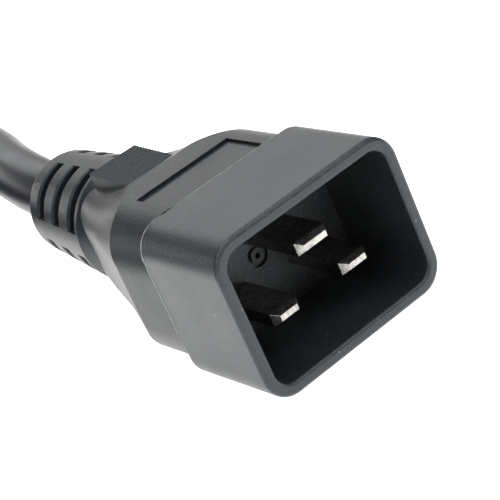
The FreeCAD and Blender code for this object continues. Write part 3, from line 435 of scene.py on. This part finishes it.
blade_mat = plated("nickel_plate", (0.42, 0.41, 0.385), 0.20)
socket_mat = plated("tinned_brass", (0.72, 0.66, 0.50), 0.28)


def wire_insulation(name, colour, stripe=None):
    m, nt, bsdf, vec = new_material(name)
    slow = noise(nt, vec, 300.0)
    if stripe:
        w = nt.nodes.new("ShaderNodeTexWave")
        w.inputs["Scale"].default_value = 180.0
        nt.links.new(vec, w.inputs["Vector"])
        c, _ = mix_colour(nt, remap(nt, w.outputs["Fac"], 0.0, 1.0, 0.45, 0.55), colour, stripe)
    else:
        c, _ = mix_colour(nt, slow, colour, tuple(0.85 * x for x in colour))
    nt.links.new(c, bsdf.inputs["Base Color"])
    nt.links.new(remap(nt, slow, 0.3, 0.4), bsdf.inputs["Roughness"])
    nt.links.new(bump(nt, slow, 0.2, 0.00005), bsdf.inputs["Normal"])
    return m


def strands(name):
    m, nt, bsdf, vec = new_material(name)
    w = nt.nodes.new("ShaderNodeTexWave")
    w.wave_type = "BANDS"
    w.bands_direction = "DIAGONAL"
    w.inputs["Scale"].default_value = 1200.0
    nt.links.new(vec, w.inputs["Vector"])
    c, _ = mix_colour(nt, w.outputs["Fac"], (0.60, 0.26, 0.13), (0.86, 0.45, 0.26))
    nt.links.new(c, bsdf.inputs["Base Color"])
    bsdf.inputs["Metallic"].default_value = 1.0
    nt.links.new(remap(nt, w.outputs["Fac"], 0.38, 0.26, 0.0, 1.0), bsdf.inputs["Roughness"])
    nt.links.new(bump(nt, w.outputs["Fac"], 0.6, 0.0001), bsdf.inputs["Normal"])
    return m


line_mat = wire_insulation("line_brown", (0.20, 0.07, 0.03))
neutral_mat = wire_insulation("neutral_blue", (0.03, 0.13, 0.42))
earth_mat = wire_insulation("earth_green_yellow", (0.06, 0.30, 0.05), (0.75, 0.60, 0.03))
copper_mat = strands("copper_strands")


def woven(name, colour):
    m, nt, bsdf, vec = new_material(name)
    w1 = nt.nodes.new("ShaderNodeTexWave"); w1.bands_direction = "X"
    w2 = nt.nodes.new("ShaderNodeTexWave"); w2.bands_direction = "Y"
    for w in (w1, w2):
        w.inputs["Scale"].default_value = 500.0
        w.inputs["Distortion"].default_value = 1.0
        nt.links.new(vec, w.inputs["Vector"])
    add = nt.nodes.new("ShaderNodeMath"); add.operation = "ADD"
    nt.links.new(w1.outputs["Fac"], add.inputs[0]); nt.links.new(w2.outputs["Fac"], add.inputs[1])
    fuzz = noise(nt, vec, 3000.0, 3.0, 0.7)
    c, _ = mix_colour(nt, fuzz, colour, tuple(1.8 * x for x in colour))
    nt.links.new(c, bsdf.inputs["Base Color"])
    nt.links.new(remap(nt, fuzz, 0.75, 0.9), bsdf.inputs["Roughness"])
    nt.links.new(bump(nt, add.outputs[0], 0.6, 0.0002, bump(nt, fuzz, 0.6, 0.0001)), bsdf.inputs["Normal"])
    bsdf.inputs["Sheen Weight"].default_value = 0.3
    return m


tie_mat = woven("tie_weave", (0.016, 0.016, 0.018))


def dress(obj, mat):
    obj.data.materials.clear()
    obj.data.materials.append(mat)


LOOKS = {
    "plug_hood": hood_mat, "plug_overmold": mould_mat, "connector_overmold": mould_mat, "connector_insert": insert_mat,
    "plug_line_blade": blade_mat, "plug_neutral_blade": blade_mat, "plug_earth_blade": blade_mat,
    "connector_line_socket": socket_mat, "connector_neutral_socket": socket_mat, "connector_earth_socket": socket_mat,
    "cable_tie": tie_mat, "cord_tube": jacket_mat, "cord_coil": jacket_mat, "cord_tail": jacket_mat,
}
for end in ("plug", "connector"):
    for core, mat in (("line", line_mat), ("neutral", neutral_mat), ("earth", earth_mat)):
        LOOKS["%s_%s_insulation" % (end, core)] = mat
        LOOKS["%s_%s_strands" % (end, core)] = copper_mat
for node, mat in LOOKS.items():
    dress(NODES[node], mat)
dress(cord, jacket_mat)
dress(strap, tie_mat)
# pale colour on the flash beads: a painted highlight of the joint's edge
flash_highlight_mat = moulded("flash_painted_highlight", (0.30, 0.31, 0.32), (0.50, 0.51, 0.52), 0.4, 4200.0, 0.00001)
for bead in HIGHLIGHT_BEADS:
    dress(bead, flash_highlight_mat)
# near-black bead with little gloss: painted shade of the gap at the corner of the joint
dress(GAP_SHADE, moulded("joint_painted_shade", (0.0015, 0.0016, 0.0018), (0.003, 0.0032, 0.0035), 0.7, 4200.0, 0.00001, specular=0.05))


# ------------------------------------------------------------------ floor and light
floor = add_mesh("floor", [(-4, -4, 0), (4, -4, 0), (4, 4, 0), (-4, 4, 0)], [(0, 1, 2, 3)])
fm, nt, bsdf, vec = new_material("floor_white")
c, _ = mix_colour(nt, noise(nt, vec, 3.0), (0.86, 0.86, 0.86), (0.88, 0.88, 0.88))
nt.links.new(c, bsdf.inputs["Base Color"])
bsdf.inputs["Roughness"].default_value = 0.7
# lit from below as on a light table
bsdf.inputs["Emission Color"].default_value = (1.0, 1.0, 1.0, 1.0)
bsdf.inputs["Emission Strength"].default_value = 1.1
dress(floor, fm)


def area_light(name, at, towards, size, power, size_y=None):
    d = bpy.data.lights.new(name, "AREA")
    d.shape = "RECTANGLE"
    d.size = size
    d.size_y = size_y or size
    d.energy = power
    o = bpy.data.objects.new(name, d)
    bpy.context.scene.collection.objects.link(o)
    o.location = at
    o.rotation_mode = "QUATERNION"
    o.rotation_quaternion = (Vector(towards) - Vector(at)).to_track_quat("-Z", "Y")
    return o


world = bpy.data.worlds.new("studio")
bpy.context.scene.world = world
world.use_nodes = True
world.node_tree.nodes["Background"].inputs["Color"].default_value = (1.0, 1.0, 1.0, 1.0)
world.node_tree.nodes["Background"].inputs["Strength"].default_value = 0.25
area_light("front_left", (-0.65, -0.45, 0.9), (0, 0.05, 0), 0.9, 7.0)
area_light("front_right", (0.45, -0.75, 0.9), (0, 0.05, 0), 0.9, 7.0)
area_light("overhead", (0.12, 0.12, 1.25), (0, 0.05, 0), 0.8, 9.0)
area_light("back_right", (0.48, 0.92, 0.62), (0, 0, 0.01), 1.1, 4.2, 0.6)
area_light("low_back", (-0.13, 0.62, 0.05), (-0.02, 0.03, 0.01), 0.34, 0.5, 0.08)

bpy.context.scene.view_settings.view_transform = "Standard"
bpy.context.scene.view_settings.look = "None"
